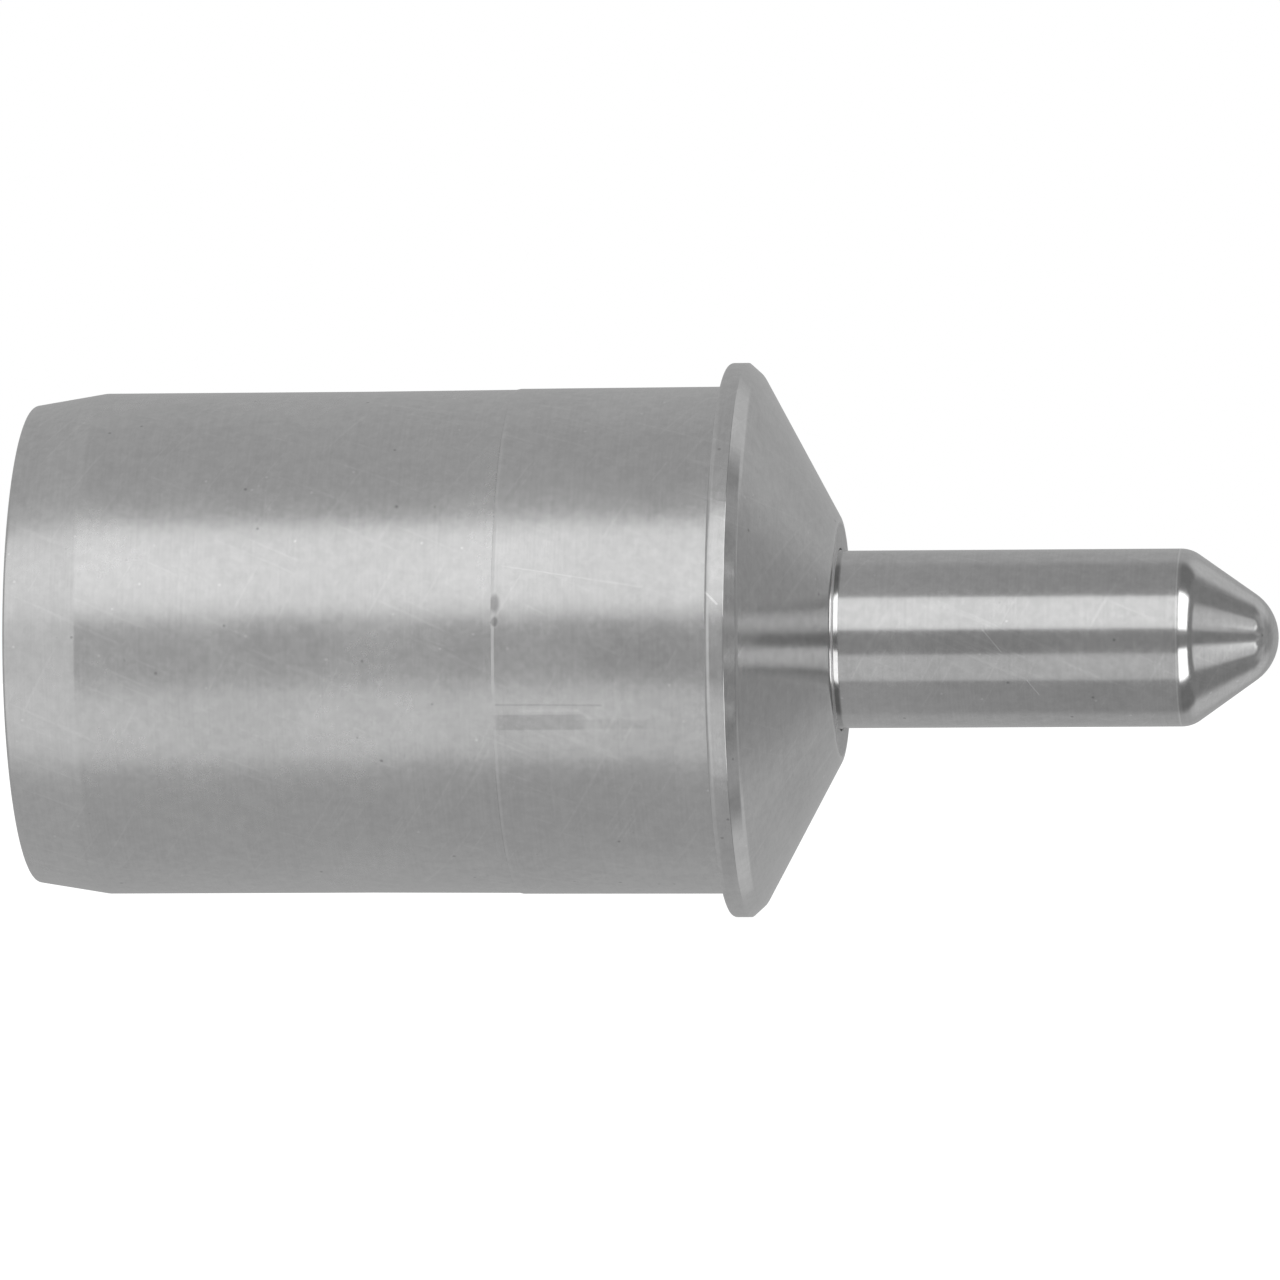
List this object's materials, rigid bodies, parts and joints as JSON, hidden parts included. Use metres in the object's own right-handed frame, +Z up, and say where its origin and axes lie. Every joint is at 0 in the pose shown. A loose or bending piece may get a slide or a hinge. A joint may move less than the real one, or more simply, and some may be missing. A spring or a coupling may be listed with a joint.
{
  "type": "live center",
  "caption": "Straight-barrel live center with a slim bearing-mounted point that spins freely and springs back into the flanged nose.",
  "frame": {"origin": "on the axis, in the plane of the seating face behind the flange", "axes": "+X along the axis towards the workpiece, +Z up, +Y across"},
  "size_m": [0.0782, 0.0346, 0.0346],
  "materials": {
    "ground_steel": "satin, ground round the axis",
    "point_steel": "finely ground, nearly polished",
    "dark_steel": "blackened, turned",
    "bearing_steel": "polished",
    "spring_steel": "oiled",
    "brass": "satin, machined",
    "rubber": "matt"
  },
  "bodies": {
    "housing": {"nose_body": "ground_steel", "rear_sleeve": "ground_steel", "adjusting_plug": "dark_steel", "lock_ring": "dark_steel", "wiper_seal": "rubber", "needle_bearing_shell": "bearing_steel", "coil_spring": "spring_steel", "spring_washer": "dark_steel"},
    "quill": {"quill": "dark_steel", "quill_retaining_ring": "spring_steel", "ball_bearing_outer_ring": "bearing_steel", "thrust_housing_washer": "bearing_steel"},
    "spindle": {"center_point": "point_steel", "ball_bearing_inner_ring": "bearing_steel", "spacer_sleeve": "dark_steel", "thrust_shaft_washer": "bearing_steel", "tail_washer": "dark_steel", "tail_retaining_ring": "spring_steel"},
    "needle_set": {"needle_bearing_cage": "spring_steel", "needle_1": "bearing_steel", "needle_2": "bearing_steel", "needle_3": "bearing_steel", "needle_4": "bearing_steel", "needle_5": "bearing_steel", "needle_6": "bearing_steel", "needle_7": "bearing_steel", "needle_8": "bearing_steel", "needle_9": "bearing_steel", "needle_10": "bearing_steel", "needle_11": "bearing_steel", "needle_12": "bearing_steel"},
    "ball_set": {"ball_bearing_cage": "brass", "bearing_ball_1": "bearing_steel", "bearing_ball_2": "bearing_steel", "bearing_ball_3": "bearing_steel", "bearing_ball_4": "bearing_steel", "bearing_ball_5": "bearing_steel", "bearing_ball_6": "bearing_steel", "bearing_ball_7": "bearing_steel", "bearing_ball_8": "bearing_steel"},
    "thrust_set": {"thrust_bearing_cage": "brass", "thrust_ball_1": "bearing_steel", "thrust_ball_2": "bearing_steel", "thrust_ball_3": "bearing_steel", "thrust_ball_4": "bearing_steel", "thrust_ball_5": "bearing_steel", "thrust_ball_6": "bearing_steel", "thrust_ball_7": "bearing_steel", "thrust_ball_8": "bearing_steel"}
  },
  "joints": [
    {"name": "quill_slide", "type": "slide", "parent": "housing", "child": "quill", "axis": [-1, 0, 0], "range_m": [0, 0.006], "stiffness_N_per_m": 4200, "springref_m": -0.012, "deforming": ["coil_spring"]},
    {"name": "point_spin", "type": "hinge", "parent": "quill", "child": "spindle", "pos_m": [0, 0, 0], "axis": [1, 0, 0], "continuous": true},
    {"name": "ball_set_spin", "type": "hinge", "parent": "quill", "child": "ball_set", "pos_m": [0, 0, 0], "axis": [1, 0, 0], "continuous": true},
    {"name": "thrust_set_spin", "type": "hinge", "parent": "quill", "child": "thrust_set", "pos_m": [0, 0, 0], "axis": [1, 0, 0], "continuous": true},
    {"name": "needle_set_spin", "type": "hinge", "parent": "housing", "child": "needle_set", "pos_m": [0, 0, 0], "axis": [1, 0, 0], "continuous": true}
  ],
  "couplings": [
    {"joint": "ball_set_spin", "follows": "point_spin", "ratio": 0.4033},
    {"joint": "thrust_set_spin", "follows": "point_spin", "ratio": 0.5},
    {"joint": "needle_set_spin", "follows": "point_spin", "ratio": 0.4292}
  ]
}
